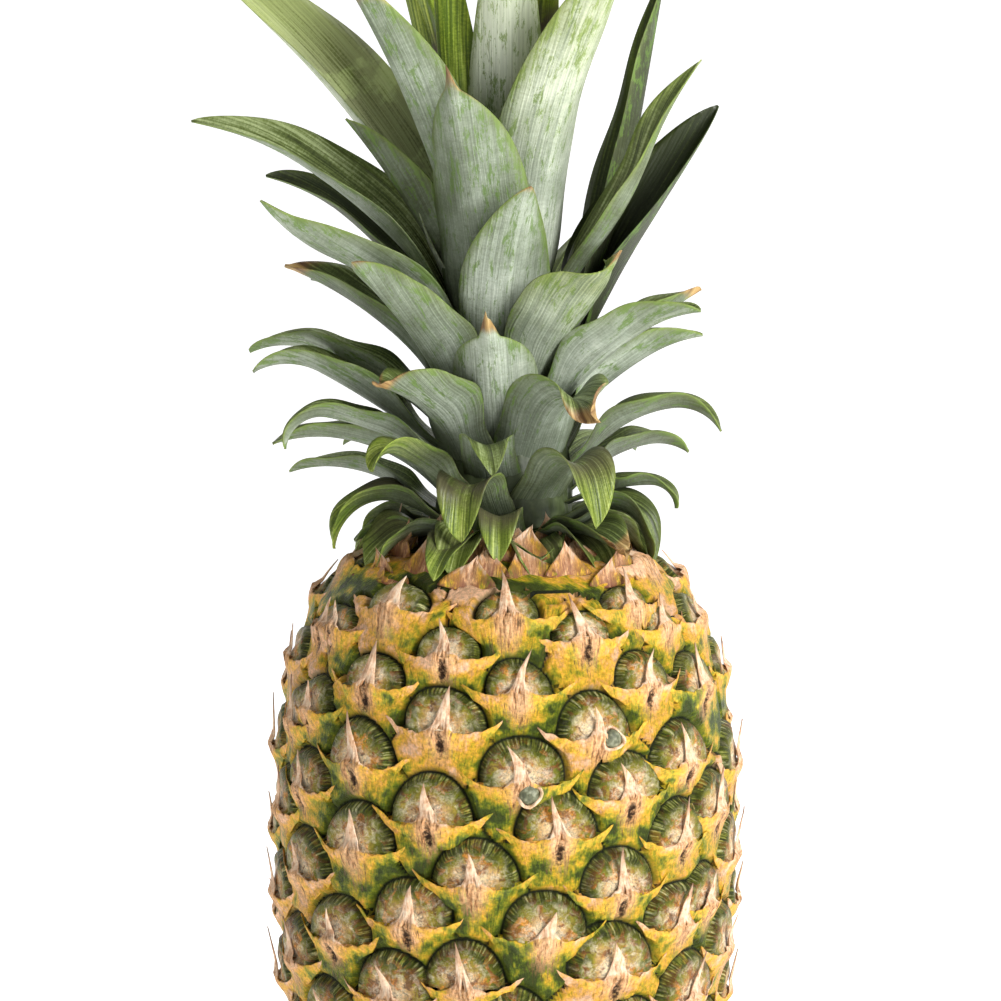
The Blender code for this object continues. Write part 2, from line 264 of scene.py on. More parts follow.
def new_material(name, **inputs):
    """(material, its Principled shader, a function that adds a node to it)"""
    material = bpy.data.materials.new(name)
    material.use_nodes = True
    shader = material.node_tree.nodes["Principled BSDF"]
    for key, value in inputs.items():
        shader.inputs[key].default_value = value
    return material, shader, partial(add_node, material.node_tree)


def finish_material(material, shader, colour, height, strength, depth, roughness=None):
    """Joins a colour, a bump with its depth in metres and a roughness to the shader."""
    tree = material.node_tree
    bump = add_node(tree, "Bump", {"Height": height, "Strength": strength, "Distance": depth})
    tree.links.new(bump, shader.inputs["Normal"])
    tree.links.new(colour, shader.inputs["Base Color"])
    if roughness:
        tree.links.new(roughness, shader.inputs["Roughness"])
    return material


def fresh_bract(add, along, up, eye, slit):
    """(colour, fibre) of a living bract: yellow in its middle, green round it and tan by the spike.

    slit is 1 on a bract that has split, and the collar's bracts give one that is zero or less.
    """
    seed = add("Math", {0: eye, 1: 90.0}, **TIMES)
    # Fibres run down the bract 0.6 mm apart, and spread out from the foot of the spike.
    spread = add("Math", {0: up, 1: -0.02, 2: 0.8}, **TIMES_PLUS)
    fan = add("Math", {0: along, 1: spread}, **TIMES)
    run = add("Math", {0: up, 1: 0.16}, **TIMES)
    place = add("CombineXYZ", {"X": fan, "Y": run, "Z": seed})
    fibre = add("TexNoise", {"Vector": place, "Scale": 1.9, "Detail": 4.0, "Roughness": 0.65})
    place = add("CombineXYZ", {"X": along, "Y": up, "Z": seed})
    patch = add("TexNoise", {"Vector": place, "Scale": 0.17, "Detail": 5.0, "Roughness": 0.6})
    fleck = add("TexNoise", {"Vector": place, "Scale": 1.1, "Detail": 4.0, "Roughness": 0.75})
    # Yellower towards the middle and the top, in patches.
    aside = add("Math", {0: along}, **DISTANCE)
    warmth = add("Math", {0: aside, 1: -0.024, 2: 0.95}, **TIMES_PLUS)
    ends = {"From Min": -7.5, "From Max": 9.0, "To Min": -0.45, "To Max": 0.52}
    height = add("MapRange", {"Value": up, **ends})
    warmth = add("Math", {0: warmth, 1: height}, **PLUS)
    for source, weight in ((patch, 2.6), (fibre, 0.7), (eye, 0.5)):
        middled = add("Math", {0: source, 1: 0.5}, **MINUS)
        warmth = add("Math", {0: middled, 1: weight, 2: warmth}, **TIMES_PLUS)
    colour = add(
        "ValToRGB",
        {"Fac": warmth},
        stops=(
            (0.0, "#37430a"),
            (0.16, "#5f6e12"),
            (0.32, "#98901c"),
            (0.48, "#cda626"),
            (0.62, "#e0a936"),
            (0.8, "#dca45a"),
            (1.0, "#e2b48e"),
        ),
    )
    # A tan husk round the foot of the spike, as far as the fibres carry it.
    far = add("Math", {0: aside, 1: 2.0}, operation="POWER")
    level = add("Math", {0: up, 1: 2.5}, **PLUS)
    level = add("Math", {0: level, 1: 0.55}, **TIMES)
    level = add("Math", {0: level}, **DISTANCE)
    level = add("Math", {0: level, 1: 2.0}, operation="POWER")
    far = add("Math", {0: far, 1: level}, **PLUS)
    far = add("Math", {0: far}, operation="SQRT")
    middled = add("Math", {0: fibre, 1: 0.5}, **MINUS)
    far = add("Math", {0: middled, 1: 11.0, 2: far}, **TIMES_PLUS)
    husk = add("MapRange", {"Value": far, "From Min": 5.0, "From Max": 1.0}, **SOFT)
    stops = ((0.3, "#6b4020"), (0.43, "#c48f5e"), (0.55, "#e8b888"), (0.75, "#f6d9b4"))
    tan = add("ValToRGB", {"Fac": fibre}, stops=stops)
    colour = add("Mix", {0: husk, 6: colour, 7: tan}, **BLEND)
    dark = add("MapRange", {"Value": fibre, "From Min": 0.42, "From Max": 0.3}, **SOFT)
    dark = add("Math", {0: dark, 1: 0.55}, **TIMES)
    colour = add("Mix", {0: dark, 6: colour, 7: "#5f4a12"}, **BLEND)
    ends = {"From Min": 0.35, "From Max": 0.65, "To Min": 0.68, "To Max": 1.3}
    grit = add("MapRange", {"Value": fleck, **ends})
    colour = add("Mix", {0: 1.0, 6: colour, 7: grit}, **DARKEN)
    # The slit left by the dried flower: ragged, and near black-brown with painted shade in its hollow.
    level = add("Math", {0: up, 1: SLIT_DROP}, **PLUS)
    level = add("Math", {0: level, 1: 0.36}, **TIMES)
    level = add("Math", {0: level}, **DISTANCE)
    level = add("Math", {0: level, 1: 2.0}, operation="POWER")
    far = add("Math", {0: aside, 1: aside}, **TIMES)
    far = add("Math", {0: far, 1: 1.1}, **TIMES)
    level = add("Math", {0: far, 1: level}, **PLUS)
    middled = add("Math", {0: fleck, 1: 0.5}, **MINUS)
    level = add("Math", {0: middled, 1: 6.0, 2: level}, **TIMES_PLUS)
    level = add("MapRange", {"Value": level, "From Min": 1.8, "From Max": 0.2})
    level = add("Math", {0: level, 1: slit}, **TIMES)
    colour = add("Mix", {0: level, 6: colour, 7: "#35200f"}, **BLEND)
    return colour, fibre


def rind_material():
    """Waxy fruit skin: firm and finely wrinkled, so it gives soft broad highlights; its grooves are darkened
    with painted shade.
    """
    soft_wax = {"Roughness": 0.42, "IOR": 1.45, "Specular IOR Level": 0.3}
    material, shader, add = new_material("waxy_pineapple_rind", **soft_wax)
    along, up, rim, eye, disc, rise, clear, slit = (
        add("Attribute", output=2, attribute_name=name)
        for name in ("along", "up", "rim", "eye", "disc", "rise", "clear", "slit")
    )
    seed = add("Math", {0: eye, 1: 70.0}, **TIMES)
    # Wrinkles run in from the rim, a little over 1 mm apart round an eye.
    level = add("Math", {0: up, 1: 0.5}, **MINUS)
    angle = add("Math", {0: level, 1: along}, operation="ARCTAN2")
    round_rim = add("Math", {0: angle, 1: 15.0}, **TIMES)
    place = add("CombineXYZ", {"X": round_rim, "Y": rim, "Z": seed})
    wrinkle = add("TexNoise", {"Vector": place, "Scale": 1.0, "Detail": 1.5, "Roughness": 0.5})
    place = add("CombineXYZ", {"X": along, "Y": up, "Z": seed})
    blotch = add("TexNoise", {"Vector": place, "Scale": 0.2, "Detail": 4.0, "Roughness": 0.6})
    # Frosting breaks up in specks of half a millimetre.
    fleck = add("TexNoise", {"Vector": place, "Scale": 1.5, "Detail": 5.0, "Roughness": 0.8})
    grain = {"Scale": 0.28, "Detail": 3.0, "Roughness": 0.6, "Distortion": 0.8}
    stain = add("TexNoise", {"Vector": place, **grain})
    grain = {"Scale": 0.42, "Detail": 7.0, "Roughness": 0.75, "Distortion": 0.5}
    frost = add("TexNoise", {"Vector": place, **grain})
    reach = rim
    for source, weight in ((blotch, 0.8), (fleck, 0.45)):
        middled = add("Math", {0: source, 1: 0.5}, **MINUS)
        reach = add("Math", {0: middled, 1: weight, 2: reach}, **TIMES_PLUS)
    skin = add(
        "ValToRGB",
        {"Fac": reach},
        stops=(
            (0.0, "#fbeed2"),
            (0.22, "#f0d8ac"),
            (0.4, "#d0a870"),
            (0.55, "#9c8832"),
            (0.7, "#6e7018"),
            (0.9, "#414b10"),
        ),
    )
    # Brown, orange and wine stains, more of them on the lower eyes.
    flush = add("Math", {0: rise, 1: -0.1, 2: stain}, **TIMES_PLUS)
    flush = add("MapRange", {"Value": flush, "From Min": 0.44, "From Max": 0.53}, **SOFT)
    tint = add("ValToRGB", {"Fac": blotch}, stops=((0.4, "#54291a"), (0.5, "#9c5526"), (0.58, "#e09238")))
    flush = add("Math", {0: flush, 1: 0.75}, **TIMES)
    skin = add("Mix", {0: flush, 6: skin, 7: tint}, **BLEND)
    # Pale frosting, most of it towards the middle.
    ends = {"From Min": 0.85, "From Max": 0.45, "To Min": 0.15, "To Max": 0.7}
    inward = add("MapRange", {"Value": reach, **ends})
    frost = add("MapRange", {"Value": frost, "From Min": 0.47, "From Max": 0.62})
    frost = add("Math", {0: frost, 1: inward}, **TIMES)
    skin = add("Mix", {0: frost, 6: skin, 7: "#f4e8cc"}, **BLEND)
    # A rim of wrinkles like teeth, and painted shade, nearly black, along the border where the disc drops into
    # its groove.
    edge = add("MapRange", {"Value": reach, "From Min": 0.74, "From Max": 0.94}, **SOFT)
    stops = ((0.38, "#232b08"), (0.48, "#505a12"), (0.56, "#8d9136"), (0.68, "#cfcd9a"))
    teeth = add("ValToRGB", {"Fac": wrinkle}, stops=stops)
    toothed = add("Math", {0: edge, 1: 0.75}, **TIMES)
    skin = add("Mix", {0: toothed, 6: skin, 7: teeth}, **BLEND)
    rim_groove_shade = add("MapRange", {"Value": rim, "From Min": 0.93, "From Max": 1.0}, **SOFT)
    skin = add("Mix", {0: rim_groove_shade, 6: skin, 7: "#1a2006"}, **BLEND)
    grit = add("MapRange", {"Value": fleck, "From Min": 0.36, "From Max": 0.64, "To Min": 0.5, "To Max": 1.5})
    skin = add("Mix", {0: 1.0, 6: skin, 7: grit}, **DARKEN)
    # The bract, green where it meets a disc, and nearly black with painted shade in the grooves round the
    # discs and along the seams between bracts.
    bract, fibre = fresh_bract(add, along, up, eye, slit)
    side = add("MapRange", {"Value": rim, "From Min": 1.16, "From Max": 1.03}, **SOFT)
    side = add("Math", {0: side, 1: 0.55}, **TIMES)
    bract = add("Mix", {0: side, 6: bract, 7: "#5c6814"}, **BLEND)
    seam_shade = add("MapRange", {"Value": clear, "From Min": 0.9, "From Max": 0.0}, **SOFT)
    side = add("MapRange", {"Value": rim, "From Min": 1.07, "From Max": 1.0}, **SOFT)
    side = add("Math", {0: side, 1: seam_shade}, operation="MAXIMUM")
    bract = add("Mix", {0: side, 6: bract, 7: "#151a05"}, **BLEND)
    colour = add("Mix", {0: disc, 6: bract, 7: skin}, **BLEND)
    teeth = add("Math", {0: wrinkle, 1: disc}, **TIMES)
    teeth = add("Math", {0: teeth, 1: edge}, **TIMES)
    lines = add("Math", {0: fleck, 1: 0.6, 2: teeth}, **TIMES_PLUS)
    lines = add("Math", {0: fibre, 1: 0.5, 2: lines}, **TIMES_PLUS)
    ends = {"From Min": 0.3, "From Max": 0.7, "To Min": 0.32, "To Max": 0.55}
    gloss = add("MapRange", {"Value": fleck, **ends})
    return finish_material(material, shader, colour, lines, 0.9, 0.0012, gloss)


def paper_material():
    """Dried bract: thin and papery with raised fibres, so it is matt and pale, with brown at its tip."""
    material, shader, add = new_material("dried_bract_paper", Roughness=0.62, IOR=1.45)
    along, up, eye, paper, slit = (
        add("Attribute", output=2, attribute_name=name) for name in ("along", "up", "eye", "paper", "slit")
    )
    bract, fibre = fresh_bract(add, along, up, eye, slit)
    seed = add("Math", {0: eye, 1: 30.0}, **TIMES)
    place = add("CombineXYZ", {"X": along, "Y": up, "Z": seed})
    cloud = add("TexNoise", {"Vector": place, "Scale": 0.55, "Detail": 5.0, "Roughness": 0.7})
    shade = add("Math", {0: fibre, 1: cloud}, **PLUS)
    shade = add("Math", {0: shade, 1: 0.5}, **TIMES)
    stops = ((0.32, "#7a4c30"), (0.4, "#c4926c"), (0.48, "#e6bd98"), (0.56, "#f3d6b6"), (0.68, "#fbead6"))
    dry = add("ValToRGB", {"Fac": shade}, stops=stops)
    middled = add("Math", {0: cloud, 1: 0.5}, **MINUS)
    dried = add("Math", {0: middled, 1: 1.0, 2: paper}, **TIMES_PLUS)
    dried = add("MapRange", {"Value": dried, "From Min": 0.25, "From Max": 0.6}, **SOFT)
    colour = add("Mix", {0: dried, 6: bract, 7: dry}, **BLEND)
    # The collar's bracts are wine-brown at the foot, where slit is below zero.
    wine = add("MapRange", {"Value": cloud, "From Min": 0.36, "From Max": 0.52})
    foot = add("Math", {0: slit, 1: -0.9}, **TIMES)
    wine = add("Math", {0: wine, 1: foot}, **TIMES)
    colour = add("Mix", {0: wine, 6: colour, 7: "#7c4532"}, **BLEND)
    tip = add("Math", {0: cloud, 1: 6.0, 2: up}, **TIMES_PLUS)
    tip = add("MapRange", {"Value": tip, "From Min": 9.0, "From Max": 14.0, "To Max": 0.7})
    colour = add("Mix", {0: tip, 6: colour, 7: "#6d4630"}, **BLEND)
    return finish_material(material, shader, colour, fibre, 0.6, 0.0008)


def leaf_material():
    """Stiff fresh leaf: a smooth green upper side, and silvery bloom underneath, rubbed off in streaks."""
    material, shader, add = new_material("waxy_crown_leaf", Roughness=0.42, IOR=1.45)
    share, across, wide, inner, bloom, dry, eye, length, young = (
        add("Attribute", output=2, attribute_name=name)
        for name in ("share", "across", "wide", "inner", "bloom", "dry", "eye", "length", "young")
    )
    seed = add("Math", {0: eye, 1: 80.0}, **TIMES)
    # Patterns along the blade: how much each one is drawn out, its scale, detail, roughness and distortion.
    patterns = []
    for stretch, scale, detail, roughness, distortion in (
        (0.012, 2.6, 2.0, 0.5, 0.0),  # veins, about 0.4 mm apart
        (0.06, 0.5, 4.0, 0.65, 0.0),  # broad streaks
        (0.09, 0.5, 2.0, 0.4, 0.3),  # scratches
        (0.22, 0.6, 8.0, 0.8, 0.3),  # marks where leaves have rubbed each other
    ):
        run = add("Math", {0: length, 1: stretch}, **TIMES)
        place = add("CombineXYZ", {"X": wide, "Y": run, "Z": seed})
        kind = {"Scale": scale, "Detail": detail, "Roughness": roughness, "Distortion": distortion}
        patterns.append(add("TexNoise", {"Vector": place, **kind}))
    vein, streak, scratch, rub = patterns
    place = add("CombineXYZ", {"X": wide, "Y": length, "Z": seed})
    cloud = add("TexNoise", {"Vector": place, "Scale": 0.07, "Detail": 6.0, "Roughness": 0.65})
    grain = add("TexNoise", {"Vector": place, "Scale": 1.6, "Detail": 4.0, "Roughness": 0.8})
    # Marks across the blade.
    run = add("Math", {0: wide, 1: 0.25}, **TIMES)
    place = add("CombineXYZ", {"X": run, "Y": length, "Z": seed})
    crossing = add("TexNoise", {"Vector": place, "Scale": 1.7, "Detail": 3.0, "Roughness": 0.7})
    scratch = add("Math", {0: scratch, 1: 0.56}, **MINUS)
    scratch = add("Math", {0: scratch}, **DISTANCE)
    scratch = add("MapRange", {"Value": scratch, "From Min": 0.009, "From Max": 0.0, "To Max": 0.6})
    aside = add("Math", {0: across}, **DISTANCE)
    edge = add("Math", {0: aside, 1: 7.0}, operation="POWER")
    # Underside: silvery bloom, rubbed off to green.
    coat = bloom
    for source, weight in ((cloud, 0.95), (vein, 0.28), (grain, 0.4), (crossing, 0.22), (streak, 0.3)):
        middled = add("Math", {0: source, 1: 0.5}, **MINUS)
        coat = add("Math", {0: middled, 1: weight, 2: coat}, **TIMES_PLUS)
    coat = add("Math", {0: edge, 1: -0.25, 2: coat}, **TIMES_PLUS)
    stops = ((0.0, "#343924"), (0.25, "#575f4b"), (0.5, "#7f8977"), (0.75, "#a5ae9e"), (1.0, "#ced5c6"))
    under = add("ValToRGB", {"Fac": coat}, stops=stops)
    far = add("Math", {0: share, 1: 0.07, 2: rub}, **TIMES_PLUS)
    far = add("Math", {0: edge, 1: 0.06, 2: far}, **TIMES_PLUS)
    worn = add("MapRange", {"Value": far, "From Min": 0.57, "From Max": 0.63}, **SOFT)
    worn = add("Math", {0: worn, 1: 0.8}, **TIMES)
    under = add("Mix", {0: worn, 6: under, 7: "#5a7a2c"}, **BLEND)
    under = add("Mix", {0: scratch, 6: under, 7: "#4c5a34"}, **BLEND)
    # Upper side, lighter with the leaf's bloom value; where that is over 1 this is painted light on a leaf in
    # shade.
    tone = add("Math", {0: streak, 1: vein}, **PLUS)
    tone = add("Math", {0: tone, 1: 0.5}, **TIMES)
    for source, weight in ((bloom, 0.3), (grain, 0.3), (crossing, 0.12)):
        middled = add("Math", {0: source, 1: 0.5}, **MINUS)
        tone = add("Math", {0: middled, 1: weight, 2: tone}, **TIMES_PLUS)
    stops = ((0.32, "#252d12"), (0.43, "#434d26"), (0.52, "#68763e"), (0.66, "#b2be8c"))
    upper = add("ValToRGB", {"Fac": tone}, stops=stops)
    colour = add("Mix", {0: inner, 6: under, 7: upper}, **BLEND)
    # Limes at the margins and towards the tip.
    lime = add("MapRange", {"Value": share, "From Min": 0.2, "From Max": 1.0, "To Min": 0.08, "To Max": 0.65})
    margin = add("Math", {0: edge, 1: 0.18}, **PLUS)
    lime = add("Math", {0: margin, 1: lime}, **TIMES)
    healthy = add("MapRange", {"Value": bloom, "From Min": -0.25, "From Max": 0.3, "To Min": 0.15})
    lime = add("Math", {0: lime, 1: healthy}, **TIMES)
    colour = add("Mix", {0: lime, 6: colour, 7: "#869846"}, **BLEND)
    # The youngest blades, and the ends of some others, are yellow-green; young over 1 spreads this further
    # along the heart and inner back leaves as painted light, since they sit in shade.
    fresh = add("MapRange", {"Value": share, "From Min": 0.35, "From Max": 0.85, "To Min": 0.12})
    fresh = add("Math", {0: fresh, 1: young}, **TIMES)
    spring = add("ValToRGB", {"Fac": tone}, stops=((0.35, "#5a7216"), (0.48, "#93a730"), (0.6, "#c4cc5c")))
    colour = add("Mix", {0: fresh, 6: colour, 7: spring}, **BLEND)
    # Bruised grey-brown over the bends of the lowest leaves.
    bend = add("MapRange", {"Value": share, "From Min": 0.75, "From Max": 0.55}, **SOFT)
    bruise = add("MapRange", {"Value": cloud, "From Min": 0.4, "From Max": 0.52}, **SOFT)
    inside = add("Math", {0: inner, 1: 1.5}, **TIMES)
    for source in (bend, young, inside):
        bruise = add("Math", {0: bruise, 1: source}, **TIMES)
    colour = add("Mix", {0: bruise, 6: colour, 7: "#5a5140"}, **BLEND)
    # Dried tips.
    middled = add("Math", {0: cloud, 1: 0.5}, **MINUS)
    gone = add("Math", {0: middled, 1: 0.14, 2: share}, **TIMES_PLUS)
    gone = add("Math", {0: edge, 1: 0.04, 2: gone}, **TIMES_PLUS)
    gone = add("Math", {0: gone, 1: dry}, **PLUS)
    gone = add("MapRange", {"Value": gone, "From Min": 0.97, "From Max": 1.05}, **SOFT)
    stops = ((0.3, "#3d2917"), (0.45, "#7d5c36"), (0.58, "#b6955c"), (0.75, "#dcc898"))
    brown = add("ValToRGB", {"Fac": streak}, stops=stops)
    colour = add("Mix", {0: gone, 6: colour, 7: brown}, **BLEND)
    grit = add("MapRange", {"Value": vein, "From Min": 0.32, "From Max": 0.66, "To Min": 0.86, "To Max": 1.1})
    colour = add("Mix", {0: 1.0, 6: colour, 7: grit}, **DARKEN)
    lines = add("Math", {0: cloud, 1: 0.4, 2: vein}, **TIMES_PLUS)
    lines = add("Math", {0: grain, 1: 0.25, 2: lines}, **TIMES_PLUS)
    gloss = add("MapRange", {"Value": inner, "To Min": 0.55, "To Max": 0.36})
    return finish_material(material, shader, colour, lines, 0.45, 0.0007, gloss)


def sheath_material():
    """Young leaf bases packed round the stem: moist and finely ribbed, coloured dark green-grey instead of
    their own pale green, as painted shade in the gaps between the leaves.
    """
    material, shader, add = new_material("leaf_sheath_painted_shade", Roughness=0.5, IOR=1.45)
    place = add("TexCoord", output=3)
    fine = add("TexNoise", {"Vector": place, "Scale": 220.0, "Detail": 3.0})
    # dark green-grey: painted shade of the gaps between the leaves
    colour = add("ValToRGB", {"Fac": fine}, stops=((0.3, "#2c351c"), (0.6, "#4a5534"), (0.8, "#6c7850")))
    return finish_material(material, shader, colour, fine, 0.5, 0.0006)


def button_material():
    """Dried flower: grey and woody with a faint sheen."""
    material, shader, add = new_material("dried_grey_flower", Roughness=0.55)
    place = add("TexCoord", output=3)
    fine = add("TexNoise", {"Vector": place, "Scale": 800.0, "Detail": 4.0})
    colour = add("ValToRGB", {"Fac": fine}, stops=((0.3, "#3a3c28"), (0.5, "#686b50"), (0.7, "#9a9c82")))
    return finish_material(material, shader, colour, fine, 0.4, 0.0005)


def scar_material():
    """Cut stalk: dry fibrous wood, matt all over."""
    material, shader, add = new_material("dry_cut_stalk", Roughness=0.85)
    place = add("TexCoord", output=3)
    fine = add("TexNoise", {"Vector": place, "Scale": 900.0, "Detail": 4.0, "Roughness": 0.7})
    broad = add("TexNoise", {"Vector": place, "Scale": 120.0, "Detail": 3.0})
    shade = add("Math", {0: fine, 1: broad}, **PLUS)
    shade = add("Math", {0: shade, 1: 0.5}, **TIMES)
    colour = add("ValToRGB", {"Fac": shade}, stops=((0.35, "#6f5233"), (0.5, "#b08f5e"), (0.65, "#dcc79b")))
    return finish_material(material, shader, colour, fine, 0.6, 0.0006)


# ================================================================ mesh helpers
def add_piece(name, points, faces, point_data, corner_data, material):
    """A smooth-shaded mesh object that rides on the root."""
    mesh = bpy.data.meshes.new(name)
    mesh.from_pydata([tuple(p) for p in np.asarray(points, float)], [], [tuple(f) for f in faces])
    for domain, values in (("POINT", point_data), ("CORNER", corner_data)):
        for key, numbers in values.items():
            layer = mesh.attributes.new(key, "FLOAT", domain)
            layer.data.foreach_set("value", np.ascontiguousarray(numbers, np.float32).ravel())
    mesh.shade_smooth()
    mesh.materials.append(material)
    piece = bpy.data.objects.new(name, mesh)
    bpy.context.scene.collection.objects.link(piece)
    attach(piece, "root")
    return piece


def grid_faces(rows, columns, first=0, wrap=False):
    """Quads over a grid of points that are numbered row by row."""
    index = first + np.arange(rows * columns).reshape(rows, columns)
    if wrap:
        index = np.hstack([index, index[:, :1]])
    low, high = index[:-1], index[1:]
    return np.stack([low[:, :-1], low[:, 1:], high[:, 1:], high[:, :-1]], axis=-1).reshape(-1, 4)


def smooth(value):
    """An even step from 0 to 1 as the value goes from 0 to 1."""
    value = np.clip(value, 0, 1)
    return value * value * (3 - 2 * value)


# ================================================================ fruit
def fruit_radius(z):
    """The barrel's radius at a height: half a rounded oval above the waist, and another below it."""
    above = z > WAIST_HEIGHT
    reach = np.where(above, UPPER_REACH, LOWER_REACH)
    along = np.where(above, UPPER_POWERS[0], LOWER_POWERS[0])
    across = np.where(above, UPPER_POWERS[1], LOWER_POWERS[1])
    share = np.minimum(1.0, np.abs(z - WAIST_HEIGHT) / reach)
    return FRUIT_RADIUS * (1 - share**along) ** (1 / across)


class Barrel:
    """The fruit's profile by its length up the skin, from the rim of the base to the rim of the seat."""

    heights = np.linspace(0, SEAT_HEIGHT, 2400)
    radii = fruit_radius(heights)
    slants = np.concatenate(([0], np.cumsum(np.hypot(np.diff(heights), np.diff(radii)))))
    area = np.concatenate(
        ([0], np.cumsum(math.pi * (radii[1:] + radii[:-1]) * np.diff(slants)))
    )
    slope = np.arctan2(np.gradient(radii, slants), np.gradient(heights, slants))
    length = slants[-1]

    @classmethod
    def at(cls, slant):
        """(radius, height, outward share, upward share) at a length up the skin, flat beyond either rim."""
        inside = np.clip(slant, 0, cls.length)
        radius = np.interp(inside, cls.slants, cls.radii)
        height = np.interp(inside, cls.slants, cls.heights)
        slope = np.interp(inside, cls.slants, cls.slope)
        past = np.abs(slant - inside)
        slope = np.where(slant < 0, math.pi / 2, np.where(slant > cls.length, -math.pi / 2, slope))
        return radius - past, height, np.cos(slope), -np.sin(slope)


def surface_point(turn, slant, lift):
    """The point at a turn and a length up the skin, lifted square off it."""
    radius, height, out, up = Barrel.at(slant)
    reach = radius + lift * out
    return np.stack([reach * np.sin(turn), -reach * np.cos(turn), height + lift * up], axis=-1)


class Eyes:
    """Turn, length up the skin, radius and eight random numbers of each fruitlet, the last for its slit."""

    count = int(Barrel.area[-1] / EYE_AREA)
    turns = FIRST_EYE_TURN + EYE_DIVERGENCE * np.arange(count)
    rises = np.interp((np.arange(count) + 0.5) / count * Barrel.area[-1], Barrel.area, Barrel.heights)
    for _place, (_aside, _up) in EYE_NUDGES.items():
        turns[_place] += _aside
        rises[_place] += _up * MM
    turns = np.radians(turns)
    slants = np.interp(rises, Barrel.heights, Barrel.slants)
    radii = fruit_radius(rises)
    chance = np.random.default_rng(11).random((count, 8))
    chance[[*OPEN_EYES], 7] = 0
    chance[[*FLOWERS], 7] = 1

    @classmethod
    def sizes(cls):
        """Scale of each eye: its mean distance from its six neighbours, over that of a full-sized one."""
        found = []
        for k in range(cls.count):
            aside = cls.radii[k] * (np.mod(cls.turns - cls.turns[k] + math.pi, 2 * math.pi) - math.pi)
            apart = np.sort(np.hypot(aside, cls.slants - cls.slants[k]))[1:7]
            found.append(np.clip(apart.mean() / (FULL_SPACING * MM), 0.7, 1.08))
        return np.array(found)


SIZES = Eyes.sizes()
DISCS = np.interp(Eyes.rises / MM, DISC_HEIGHTS, DISC_SHARES) * (0.94 + 0.12 * Eyes.chance[:, 0])


def local_place(turn, slant, radius, k):
    """(across, up) in millimetres from an eye's middle, at full size."""
    aside = radius * (np.mod(turn - Eyes.turns[k] + math.pi, 2 * math.pi) - math.pi)
    scale = SIZES[k] * MM
    return aside / scale, (slant - Eyes.slants[k]) / scale


def wing_edge(across):
    """Height of a bract's upper edge, without its spike."""
    return np.interp(np.abs(across), WING_OUT, WING_UP)


def disc_rim(across, up, k):
    """1 at an eye's disc's rim, 0 at its middle and over 1 outside it. No disc is quite round."""
    across, up = across / DISCS[k], (up - DISC_LIFT) / DISCS[k]
    angle = np.arctan2(up, across)
    chance = Eyes.chance[k] * 2 * math.pi
    uneven = 1 + 0.035 * np.sin(2 * angle + chance[..., 5]) + 0.03 * np.sin(3 * angle + chance[..., 6])
    return np.hypot(across / DISC_HALF, up / DISC_TALL) / uneven


def rind_fields(turn, slant, radius):
    """(rim, disc_eye, clear, bract_eye) for each point: how far out in the nearest disc it is and that disc's
    eye, and how clear it is of the next bract and the eye of its own."""
    shape = turn.shape
    rim = np.full(shape, 9.0)
    disc_eye = np.zeros(shape, int)
    near = np.full(shape, 99.0)
    second = np.full(shape, 99.0)
    bract_eye = np.zeros(shape, int)
    for k in range(Eyes.count):
        across, up = local_place(turn, slant, radius, k)
        close = (np.abs(across) < 30) & (np.abs(up) < 30)
        above = up > wing_edge(across)
        out = np.where(close & above, disc_rim(across, up, k), 9.0)
        better = out < rim
        rim = np.where(better, out, rim)
        disc_eye = np.where(better, k, disc_eye)
        apart = np.hypot(across / 1.35, up + 5.0) + 4 * np.maximum(0, up - wing_edge(across) - 2.5)
        better = apart < near
        second = np.minimum(second, np.where(better, near, apart))
        near = np.where(better, apart, near)
        bract_eye = np.where(better, k, bract_eye)
    return rim, disc_eye, second - near, bract_eye


def slit_share(across, up, k):
    """1 in the middle of the slit under a spike, and 0 clear of it and on the eyes that haven't split."""
    wide = 0.8 + 0.7 * Eyes.chance[k, 2]
    split = Eyes.chance[k, 7] < SLIT_CHANCE
    return np.exp(-((across / wide) ** 2) - ((up + SLIT_DROP) / 2.3) ** 2) * split


def bract_ground(across, up, k):
    """Millimetres by which a bract stands over the barrel: a low tent, highest at the foot of its spike."""
    hump = 2.3 * np.exp(-((across / 7.0) ** 2) - ((up + 0.5) / 5.5) ** 2)
    lip = 0.6 * np.exp(-(((up - wing_edge(across)) / 2.6) ** 2))
    keel = 0.5 * np.exp(-np.abs(across) / 2.0) * smooth((up + 13) / 8)
    return 0.2 + hump + lip + keel - SLIT_DEPTH * slit_share(across, up, k)


def rind_height(turn, slant, radius):
    """Millimetres by which the skin stands over the barrel."""
    rim, disc_eye, clear, bract_eye = rind_fields(turn, slant, radius)
    across, up = local_place(turn, slant, radius, disc_eye)
    chance = Eyes.chance[disc_eye] * 6
    dent = 0.5 * np.sin(across * 0.5 + chance[..., 1]) * np.sin(up * 0.55 + chance[..., 2])
    dome = 0.35 * (1 - np.minimum(rim, 1) ** 2)
    disc = DISC_STAND * smooth((1 - rim) / 0.2) ** 0.6 + dome + dent * smooth((1 - rim) / 0.4)
    across, up = local_place(turn, slant, radius, bract_eye)
    groove = smooth((rim - 1) * DISC_HALF / GROOVE_WIDTH / 1.5) * smooth(0.15 + clear / 2.2)
    bract = (bract_ground(across, up, bract_eye) + GROOVE_DEPTH) * groove
    return np.where(rim < 1, disc * SIZES[disc_eye], bract * SIZES[bract_eye]) - GROOVE_DEPTH


